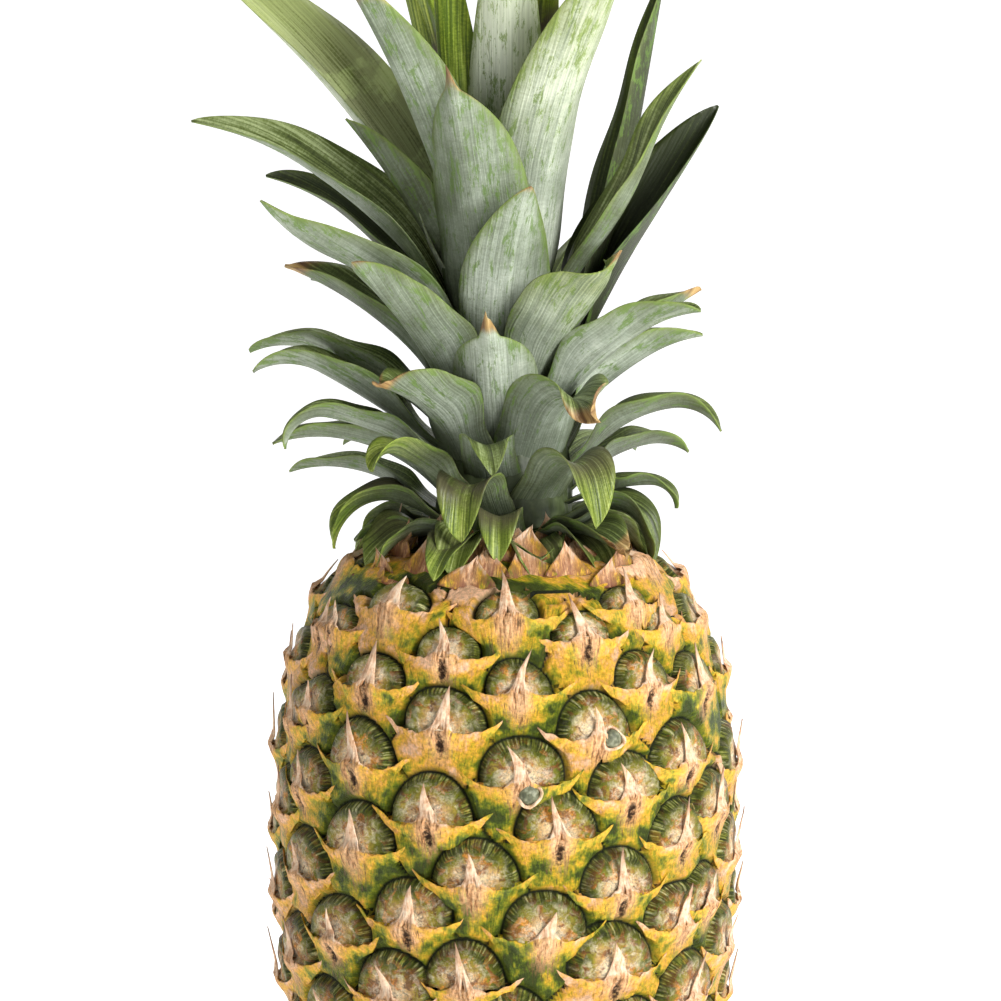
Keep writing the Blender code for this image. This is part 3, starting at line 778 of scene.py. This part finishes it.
def build_rind(material):
    """The whole skin as one sheet from the middle of the base to under the crown."""
    # The columns are closest together at the front.
    even = np.linspace(-math.pi, math.pi, RIND_COLUMNS, endpoint=False)
    turns = even - 0.28 * np.sin(even)
    skin = np.linspace(0, Barrel.length, RIND_ROWS)
    under = np.array([-33.0, -24, -16, -10, -5, -2]) * MM
    over = np.array([1.0, 2.5, 5, 9, 14]) * MM
    slants = np.concatenate([under, skin, Barrel.length + over])
    turn, slant = np.meshgrid(turns, slants)
    radius = Barrel.at(slant)[0]
    lift = rind_height(turn, slant, np.maximum(radius, 5 * MM))
    onto = smooth((slant + 1 * MM) / (7 * MM))
    lift = lift * onto * MM
    # A flat top and base, with nothing under the floor.
    past = slant > Barrel.length
    lift = np.where(past, np.clip(lift, -0.5 * MM, 0.5 * MM), lift)
    points = surface_point(turn, slant, lift)
    points[..., 2] = np.maximum(points[..., 2], FLOOR_GAP)
    rows, columns = turn.shape
    faces = grid_faces(rows, columns, wrap=True)
    # A face's corners all take the eye or bract that its middle is on, so that the edges stay sharp.
    corner_turn = turn.ravel()[faces]
    corner_turn = np.where(corner_turn[:, :1] - corner_turn > math.pi, corner_turn + 2 * math.pi, corner_turn)
    corner_slant = slant.ravel()[faces]
    corner_radius = np.maximum(radius.ravel()[faces], 5 * MM)
    middle = (corner_turn.mean(1), corner_slant.mean(1), corner_radius.mean(1))
    rim, disc_eye, clear, bract_eye = rind_fields(*middle)
    in_disc = rim < 1
    owner = np.where(in_disc, disc_eye, bract_eye)
    owners = np.repeat(owner[:, None], 4, axis=1)
    across, up = local_place(corner_turn, corner_slant, corner_radius, owners)
    discs = np.repeat(disc_eye[:, None], 4, axis=1)
    corner_rim = disc_rim(*local_place(corner_turn, corner_slant, corner_radius, discs), discs)
    corner_rim = np.where(rim[:, None] > 5, 3.0, corner_rim)
    corner_data = {
        "along": across,
        "up": up,
        "rim": corner_rim,
        "eye": Eyes.chance[owners, 0],
        "disc": np.repeat(in_disc[:, None], 4, axis=1),
        "rise": corner_slant / Barrel.length,
        "clear": np.repeat(clear[:, None], 4, axis=1),
        "slit": Eyes.chance[owners, 7] < SLIT_CHANCE,
    }
    piece = add_piece("rind", points.reshape(-1, 3), faces, {}, corner_data, material)
    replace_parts(piece, "fruit")


def bract_shell(k, across, rows):
    """(across, up, upper lift, lower lift, data) of one eye's dried edge: two wings and the spike between."""
    chance = Eyes.chance[k]
    tall = 10.5 * (0.6 + 0.65 * chance[1])
    lean = (chance[2] - 0.5) * 8.0
    width = 1.5 + 1.1 * chance[4]
    spike = np.clip(1 - np.abs(across) / width, 0, 1) ** (0.85 + 0.7 * chance[6])
    spike = 0.8 * spike + 0.2 * np.exp(-((across / 3.2) ** 2))
    ragged = 0.3 * np.sin(across * 1.9 + chance[5] * 9) + 0.2 * np.sin(across * 4.3 + chance[6] * 9)
    top = wing_edge(across) + spike * tall + ragged * (1 - spike)
    foot = -7.5 + 5.0 * smooth((np.abs(across) - 4) / 9)
    foot = np.minimum(np.maximum(foot, top - 0.4 - 0.6 * (WING_REACH - np.abs(across))), top - 0.4)
    share = rows[:, None]
    up = foot + (top - foot) * share
    aside = np.repeat(across[None, :], len(rows), axis=0)
    over = np.clip((up - wing_edge(across) - 0.3) / tall, 0, 1)
    aside = aside + lean * over**1.6 + 0.6 * np.sin(over * 5 + chance[7] * 6) * over
    fade_in = smooth((up - foot) / 3.5) * smooth((WING_REACH - np.abs(aside)) / 3)
    ripple = 0.2 * np.sin(aside * 3.1 + chance[6] * 7) + 0.15 * np.sin(aside * 5.3 + up * 0.6)
    lift = bract_ground(aside, up, k) - 0.45 + (0.75 + ripple) * fade_in
    stand = 2.0 + 2.2 * chance[3] * over**1.5
    free = smooth(over * 6)
    lift = lift * (1 - free) + stand * free
    lift = lift + 0.6 * np.clip(1 - np.abs(across) / width, 0, 1) * free
    lift = np.minimum(lift, 4.3)
    thick = 0.28 + 0.25 * (1 - share)
    husk = 0.25 * np.exp(-((across / 3.0) ** 2)) * smooth((up + 5) / 5)
    husk = husk + 0.4 * smooth((share - 0.92) / 0.08) * np.exp(-((across / 10) ** 2))
    data = {
        "along": aside,
        "up": up,
        "eye": np.full(up.shape, chance[0]),
        "paper": husk + 1.1 * smooth(over * 5),
        "slit": np.full(up.shape, chance[7] < SLIT_CHANCE),
    }
    return aside, up, lift, lift - thick, data


def shell_ring(rows, columns, first):
    """Faces of a thin closed shell: an upper and a lower grid, and the strips that join their edges."""
    upper = grid_faces(rows, columns, first)
    lower = grid_faces(rows, columns, first + rows * columns)[:, ::-1]
    index = np.arange(rows * columns).reshape(rows, columns)
    loop = np.concatenate([index[0], index[1:, -1], index[-1, -2::-1], index[-2:0:-1, 0]]) + first
    after = np.roll(loop, -1)
    skirt = rows * columns
    strip = np.stack([after, loop, loop + skirt, after + skirt], axis=-1)
    return np.concatenate([upper, lower, strip])


def build_bracts(material):
    """The dried edges and spikes of all the eyes."""
    half = WING_REACH * np.linspace(0, 1, SHELL_HALF) ** 1.9
    columns = np.concatenate([-half[:0:-1], half])
    rows = np.linspace(0, 1, SHELL_ROWS) ** 0.85
    points, faces, data = [], [], {"along": [], "up": [], "eye": [], "paper": [], "slit": []}
    first = 0
    for k in range(Eyes.count):
        aside, up, lift, below, extra = bract_shell(k, columns, rows)
        scale = SIZES[k] * MM
        slant = Eyes.slants[k] + up * scale
        radius = np.maximum(Barrel.at(slant)[0], 6 * MM)
        turn = Eyes.turns[k] + aside * scale / radius
        for height in (lift, below):
            points.append(surface_point(turn, slant, height * scale).reshape(-1, 3))
            for key in data:
                data[key].append(extra[key].ravel())
        faces.append(shell_ring(len(rows), len(columns), first))
        first += 2 * up.size
    points = np.concatenate(points)
    points[:, 2] = np.maximum(points[:, 2], FLOOR_GAP)
    data = {key: np.concatenate(value) for key, value in data.items()}
    add_piece("bract_edges", points, np.concatenate(faces), data, {}, material)


def build_flowers(button, paper):
    """The dried flowers: a grey button in a torn papery ring."""
    turns = np.linspace(0, 2 * math.pi, 33)
    loop = np.linspace(0, 2 * math.pi, 9)[:, None]
    share = np.linspace(0.02, 1, 9)[:, None] * math.pi / 2
    for k, (across, up) in FLOWERS.items():
        scale = SIZES[k] * MM
        torn = 0.75 + 0.4 * np.sin(5 * turns + k) + 0.2 * np.sin(11 * turns)
        dome_out = FLOWER_RADIUS * np.sin(share)
        dome_high = 2.6 + 0.6 * FLOWER_RADIUS * np.cos(share)
        ring_out = 2.8 + 0.45 * np.cos(loop) + 0.3 * np.sin(3 * turns + k)
        ring_high = 2.5 + np.sin(loop) * torn - 0.8 * np.sin(turns - 0.6)
        for name, out, high, material in (
            ("dried_flower", dome_out, dome_high, button),
            ("flower_husk", ring_out, ring_high, paper),
        ):
            aside = across + out * np.cos(turns)
            rise = up + out * np.sin(turns)
            slant = Eyes.slants[k] + rise * scale
            turn = Eyes.turns[k] + aside * scale / Barrel.at(slant)[0]
            points = surface_point(turn, slant, high * scale).reshape(-1, 3)
            flat = np.ones(aside.shape)
            data = {
                "along": aside,
                "up": rise,
                "eye": Eyes.chance[k, 0] * flat,
                "paper": 0.55 * flat,
                "slit": 0 * flat,
            }
            add_piece(f"{name}_{k}", points, grid_faces(*aside.shape), data, {}, material)


def build_collar(material):
    """Small half-dried bracts in rings on the shoulder, standing up round the foot of the crown."""
    chance = np.random.default_rng(5)
    columns = np.linspace(-1, 1, 13)
    rows = np.linspace(0, 1, 11)
    points, faces = [], []
    data = {"along": [], "up": [], "eye": [], "paper": [], "slit": []}
    first = 0
    share = rows[:, None]
    across = columns[None, :]
    for count, start, lean_in in COLLAR_RINGS:
        for k in range(count):
            turn = 2 * math.pi * (k + 0.5 * chance.random() + 0.25 * (count % 2)) / count
            tall = 7 + 6 * chance.random()
            wide = 5.0 + 3.6 * chance.random()
            tilt = math.radians(lean_in - 14 + 28 * chance.random())
            curl = math.radians(-45 + 80 * chance.random())
            lean = (chance.random() - 0.5) * 7
            wave = chance.random() * 6
            angle = tilt + curl * share
            up = start + np.cumsum(np.cos(angle), axis=0) * tall / len(rows)
            high = np.cumsum(np.sin(angle), axis=0) * tall / len(rows) - 0.8
            blade = (1 - share**1.3) ** 1.4 * 0.9 + 0.1 * (1 - share)
            aside = across * wide * blade + lean * share**2
            fold = 1.8 * np.abs(across) ** 1.5 * (1 - share) * (0.4 + chance.random())
            crimp = 0.5 * np.sin(across * 7 + wave + share * 4) * share
            for skin in (0.0, -0.3):
                slant = Barrel.length + up * MM
                radius = np.maximum(Barrel.at(slant)[0], 8 * MM)
                lift = (high + fold + crimp + skin) * MM
                points.append(surface_point(turn + aside * MM / radius, slant, lift).reshape(-1, 3))
                flat = np.ones(aside.shape)
                data["along"].append((aside * 1.4).ravel())
                data["up"].append((flat * share * 6 - 5).ravel())
                data["eye"].append((flat * chance.random()).ravel())
                data["paper"].append((flat * (-0.3 + 0.85 * share + 0.3 * np.abs(across))).ravel())
                data["slit"].append((flat * (share - 1)).ravel())
            faces.append(shell_ring(len(rows), len(columns), first))
            first += 2 * len(rows) * len(columns)
    data = {key: np.concatenate(value) for key, value in data.items()}
    add_piece("collar_bracts", np.concatenate(points), np.concatenate(faces), data, {}, material)


def build_scar(material):
    """The cut end of the stalk, a rough disc in the middle of the base."""
    rings = np.array([0.4, 3.0, 6.0, 9.0, 11.5, 13.0]) * MM
    turns = np.linspace(0, 2 * math.pi, 48, endpoint=False)
    chance = np.random.default_rng(3)
    radius, turn = np.meshgrid(rings, turns, indexing="ij")
    radius = radius * (1 + 0.05 * np.sin(3 * turn) + 0.03 * chance.random(turn.shape))
    low = np.stack([radius * np.sin(turn), -radius * np.cos(turn), np.full_like(radius, 0.01 * MM)], axis=-1)
    high = low + np.array([0, 0, 1.2 * MM])
    rows, columns = turn.shape
    points = np.concatenate([low.reshape(-1, 3), high.reshape(-1, 3)])
    faces = list(grid_faces(rows, columns, wrap=True))
    faces += list(grid_faces(rows, columns, rows * columns, wrap=True)[:, ::-1])
    rim = np.arange(columns) + (rows - 1) * columns
    after = np.roll(rim, -1)
    faces += list(np.stack([rim, after, after + rows * columns, rim + rows * columns], axis=-1))
    hub = np.arange(columns)
    faces += [tuple(hub[::-1]), tuple(hub + rows * columns)]
    add_piece("stalk_scar", points, faces, {}, {}, material)


# ================================================================ crown
def core_radius(rise):
    """The stem's radius in millimetres, at millimetres over the seat."""
    return np.interp(rise, *zip(*CORE_PROFILE))


def build_core(material):
    """The stem with its sheathing leaf bases, ribbed and slightly uneven."""
    turns = np.linspace(0, 2 * math.pi, 96, endpoint=False)
    top = CORE_PROFILE[-1][0]
    rises = np.concatenate([np.linspace(0, top, 60), [top + 0.5]])
    chance = np.random.default_rng(8).random(9) * 6
    turn, rise = np.meshgrid(turns, rises)
    radius = core_radius(rise) * np.where(rise > top, 0.3, 1)
    radius = radius * (1 + 0.03 * np.sin(turn * 5 + rise * 0.2 + chance[0]) + 0.015 * np.sin(turn * 31))
    radius = np.minimum(radius, 19) * MM
    points = np.stack([radius * np.sin(turn), -radius * np.cos(turn), SEAT_HEIGHT + GAP + rise * MM], axis=-1)
    rows, columns = turn.shape
    faces = [*grid_faces(rows, columns, wrap=True), tuple(np.arange(columns)[::-1])]
    faces.append(tuple(np.arange(columns) + (rows - 1) * columns))
    piece = add_piece("crown_stem", points.reshape(-1, 3), faces, {}, {}, material)
    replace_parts(piece, "crown_core")


def leaf_course(leaf, shares, steps=300):
    """(places, along, across, inward) at shares of a leaf's length, with x out, y sideways and z up."""
    fine = np.linspace(0, 1, steps + 1)
    climb = np.radians(np.interp(fine, STATIONS, leaf.climb))
    heading = np.radians(leaf.sway) * fine
    level = np.cos(climb)
    along = np.stack([level * np.cos(heading), level * np.sin(heading), np.sin(climb)], axis=1)
    middle = (along[1:] + along[:-1]) / 2
    places = np.concatenate(([[0, 0, 0]], np.cumsum(middle, axis=0))) * leaf.length / steps
    inside = np.clip(shares, 0, 1)
    place = np.stack([np.interp(inside, fine, places[:, k]) for k in range(3)], axis=1)
    along = np.stack([np.interp(inside, fine, along[:, k]) for k in range(3)], axis=1)
    along /= np.linalg.norm(along, axis=1, keepdims=True)
    place = place + along * ((shares - inside) * leaf.length)[:, None]
    heading = np.radians(leaf.sway) * inside
    flat = np.stack([-np.sin(heading), np.cos(heading), np.zeros_like(heading)], axis=1)
    up = np.cross(along, flat)
    curled = smooth((inside - 0.72) / 0.28)
    roll = (math.radians(leaf.roll) * inside + math.radians(leaf.twist) * curled)[:, None]
    across = flat * np.cos(roll) + up * np.sin(roll)
    return place, along, across, np.cross(along, across)


def sideways(leaf):
    """1 for a leaf at either side and 0 at the front or back, and about half of it in the lowest two rows."""
    side = abs(math.sin(math.radians(leaf.turn)))
    return side * (0.55 if leaf.name.startswith(("low", "second")) else 1)


def blade_half(leaf, share):
    """Half of a blade's width in millimetres at shares of its length. Those at the sides are the broadest."""
    swell = 1.02 - 0.12 * smooth(share / 0.3) + 0.1 * smooth((share - 0.15) / 0.3)
    broad = 1 + 0.32 * sideways(leaf)
    body = np.clip(share / leaf.shoulder, 0, 1)
    blunt = 4.4 if leaf.shoulder < 1 else 2.7
    half = leaf.width / 2 * broad * swell * (1 - body ** max(leaf.taper, blunt)) ** 0.85 + TIP_HALF
    if leaf.shoulder < 1:
        horn = np.clip((share - leaf.shoulder + 0.1) / (1.1 - leaf.shoulder), 0, 1)
        half = np.maximum(half, TIP_HALF + HORN_HALF * (1 - horn))
    return half


def blade_section(leaf, share, half, w, chance):
    """(out, rise, thickness) in millimetres of a blade's sections, where w goes from -1 to 1 across it."""
    # The foot wraps round the stem, and the blade opens into a shallow channel.
    hug = core_radius(leaf.rise) + 1.5
    angle = np.clip(half * w / hug, -1.2, 1.2)
    foot_out, foot_in = hug * np.sin(angle), hug * (1 - np.cos(angle))
    cup = 0.26 + (0.18 + 0.5 * sideways(leaf)) * smooth(share / 0.4)
    free = smooth(share / 0.28)
    out = foot_out * (1 - free) + half * w * free
    rise = foot_in * (1 - free) + half * cup * np.abs(w) ** 1.5 * free
    # Slow waves, and a crimp where the tip has dried.
    wave = 0.35 * np.sin(share * (9 + 8 * chance[0]) + chance[1] * 6) * w * free
    wave = wave + 0.3 * np.sin(share * (14 + 9 * chance[2]) + chance[3] * 6) * np.abs(w) ** 2 * free
    shrunk = smooth((share - 1.05 + max(leaf.dry, 0)) / 0.12)
    rise = rise + wave + 0.7 * shrunk * np.sin(share * 60 + chance[5] * 6) * (0.4 + w**2)
    return out, rise, (1.15 - 0.6 * share) * (1 - 0.8 * w**2) + 0.12


def on_stem(leaf, local):
    """Points in a leaf's own frame, in millimetres, at their place on the crown."""
    reach = core_radius(leaf.rise) + LEAF_STANDOFF / MM
    turn = math.radians(leaf.turn)
    x, y, z = (local[..., 0] + reach) * MM, local[..., 1] * MM, local[..., 2] * MM
    aside = x * math.sin(turn) + y * math.cos(turn)
    ahead = y * math.sin(turn) - x * math.cos(turn)
    height = np.maximum(z + SEAT_HEIGHT + GAP + leaf.rise * MM, LOWEST_BLADE)
    return np.stack([aside, ahead, height], axis=-1).reshape(-1, 3)


def build_leaf(leaf, order, material):
    """A channelled blade that hugs the stem at its foot, thick along its middle and thin at its margins."""
    chance = np.random.default_rng(100 + order).random(12)
    # It starts a little inside the stem.
    inside = -min(0.12, 5.0 / leaf.length)
    shares = np.concatenate([[inside, inside / 2], np.linspace(0, 1, LEAF_ROWS) ** 0.92])
    place, _, across, inward = (course[:, None, :] for course in leaf_course(leaf, shares))
    share = np.clip(shares, 0, 1)[:, None]
    half = blade_half(leaf, share)
    lateral = np.linspace(-1, 1, LEAF_COLUMNS)
    out, rise, thick = blade_section(leaf, share, half, lateral, chance)
    middle = place + across * out[..., None]
    outer = middle + inward * (rise - thick / 2)[..., None]
    inner = middle + inward * (rise + thick / 2)[..., None]
    ring = np.concatenate([outer, inner[:, ::-1]], axis=1)
    rows, columns = ring.shape[:2]
    faces = [*grid_faces(rows, columns, wrap=True)[:, ::-1], tuple(range(columns))]
    faces.append(tuple((rows - 1) * columns + np.arange(columns))[::-1])
    both = np.concatenate([lateral, lateral[::-1]])
    ones = np.ones((rows, columns))
    data = {
        "share": ones * share,
        "across": ones * both,
        "wide": ones * both * np.maximum(half, 0.3),
        "inner": ones * np.repeat([0.0, 1.0], LEAF_COLUMNS),
        "bloom": ones * leaf.bloom,
        "dry": ones * leaf.dry,
        "eye": ones * chance[4],
        "length": ones * share * leaf.length,
        "young": ones * leaf.young,
    }
    return add_piece("blade_" + leaf.name, on_stem(leaf, ring), faces, data, {}, material)


def build_crown(material):
    """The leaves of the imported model, then the small ones that lie over the fruit's shoulder."""
    for order, leaf in enumerate(LEAVES):
        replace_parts(build_leaf(leaf, order, material), "leaf_" + leaf.name)
    chance = np.random.default_rng(21).random((FOOT_COUNT, 4))
    for k in range(FOOT_COUNT):
        turn = 360 * (k + 0.6 * chance[k, 0]) / FOOT_COUNT
        climb = (8, -6, -40 - 10 * chance[k, 1], -62)
        length, width = 23 + 3 * chance[k, 2], 15 + 3 * chance[k, 3]
        foot = Leaf(f"low_foot_{k}", turn, 2.5 + 1.6 * (k % 3), length, width, climb, bloom=0.45, young=0.3)
        build_leaf(foot, len(LEAVES) + k, material)


# ================================================================ stage
def build_stage():
    """A white floor that curves up into a white wall far behind."""
    run = [(-30.0, 0.0), (1.1, 0.0)]
    run += [(1.1 + 0.9 * math.sin(a), 0.9 - 0.9 * math.cos(a)) for a in np.linspace(0.08, math.pi / 2, 24)]
    run += [(2.0, 3.2)]
    points = [(x, y, z - 0.0002) for y, z in run for x in (-30.0, 30.0)]
    faces = [(2 * k, 2 * k + 1, 2 * k + 3, 2 * k + 2) for k in range(len(run) - 1)]
    mesh = bpy.data.meshes.new("floor")
    mesh.from_pydata(points, [], faces)
    mesh.shade_smooth()
    material, shader, _ = new_material("matt_white_paper", Roughness=0.9)
    shader.inputs["Base Color"].default_value = linear("#f7f7f7")
    shader.inputs["Emission Color"].default_value = linear("#ffffff")
    shader.inputs["Emission Strength"].default_value = 0.6
    mesh.materials.append(material)
    floor = bpy.data.objects.new("floor", mesh)
    bpy.context.scene.collection.objects.link(floor)


def look_at(thing, place, aim):
    thing.location = place
    thing.rotation_euler = (Vector(aim) - Vector(place)).to_track_quat("-Z", "Y").to_euler()


def add_light(name, place, aim, size, power):
    """A white rectangular softbox."""
    lamp = bpy.data.lights.new(name, "AREA")
    lamp.shape = "RECTANGLE"
    lamp.size, lamp.size_y = size
    lamp.energy = power
    holder = bpy.data.objects.new(name, lamp)
    bpy.context.scene.collection.objects.link(holder)
    look_at(holder, place, aim)


def build_light():
    """A key from the front right, a weak fill from the front left and a soft top light, in a white room."""
    world = bpy.data.worlds.new("white_studio")
    world.use_nodes = True
    sky = world.node_tree.nodes["Background"]
    sky.inputs["Color"].default_value = linear("#ffffff")
    sky.inputs["Strength"].default_value = 0.15
    bpy.context.scene.world = world
    middle = (0, 0, 0.19)
    add_light("key", (0.75, -0.75, 0.6), middle, (0.35, 0.5), 14.5)
    add_light("fill", (-0.7, -0.9, 0.35), middle, (0.5, 0.8), 0.6)
    add_light("top", (0.0, 0.15, 1.1), middle, (0.7, 0.5), 4)


def build_camera():
    """A long lens that looks slightly down, and frames the given height round its aim."""
    lens, sensor, high = 120.0, 36.0, 275 * MM
    far = high * lens / sensor
    tilt = math.radians(6)
    aim = np.array([-1.2 * MM, 0, 181 * MM])
    place = aim + far * np.array([0, -math.cos(tilt), math.sin(tilt)])
    data = bpy.data.cameras.new("camera")
    data.lens = lens
    data.sensor_width = sensor
    camera = bpy.data.objects.new("camera", data)
    bpy.context.scene.collection.objects.link(camera)
    look_at(camera, tuple(place), tuple(aim))
    bpy.context.scene.camera = camera


def main():
    build_camera()
    build_stage()
    build_light()
    paper = paper_material()
    build_rind(rind_material())
    build_bracts(paper)
    build_collar(paper)
    build_flowers(button_material(), paper)
    build_scar(scar_material())
    build_core(sheath_material())
    build_crown(leaf_material())
    bpy.context.scene.view_settings.view_transform = "Standard"


main()
